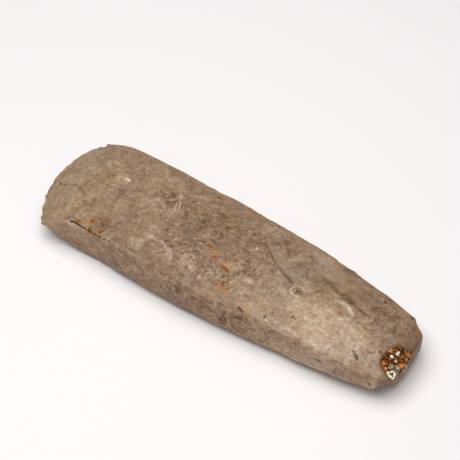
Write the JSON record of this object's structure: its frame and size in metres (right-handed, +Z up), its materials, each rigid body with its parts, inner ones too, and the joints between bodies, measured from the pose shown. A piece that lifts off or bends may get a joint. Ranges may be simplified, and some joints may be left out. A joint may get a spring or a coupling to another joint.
{
  "type": "polished flint axe",
  "caption": "Thick-butted stone axe head with a convex cutting edge, domed broad faces, narrow flat sides and a blunt butt with a crystal hollow; lies loose on one face.",
  "frame": {"origin": "on the ground, under the middle of the lying axe head's bounding box", "axes": "+X along the axe from the cutting edge to the butt, +Z up through its thickness, the two narrow sides facing -Y and +Y"},
  "size_m": [0.255, 0.0742, 0.0358],
  "materials": {
    "flint": "ground and polished, satin, with a grey-brown patina and rust-brown stains"
  },
  "bodies": {
    "root": {"polished_flint_axe": "flint"}
  },
  "joints": []
}
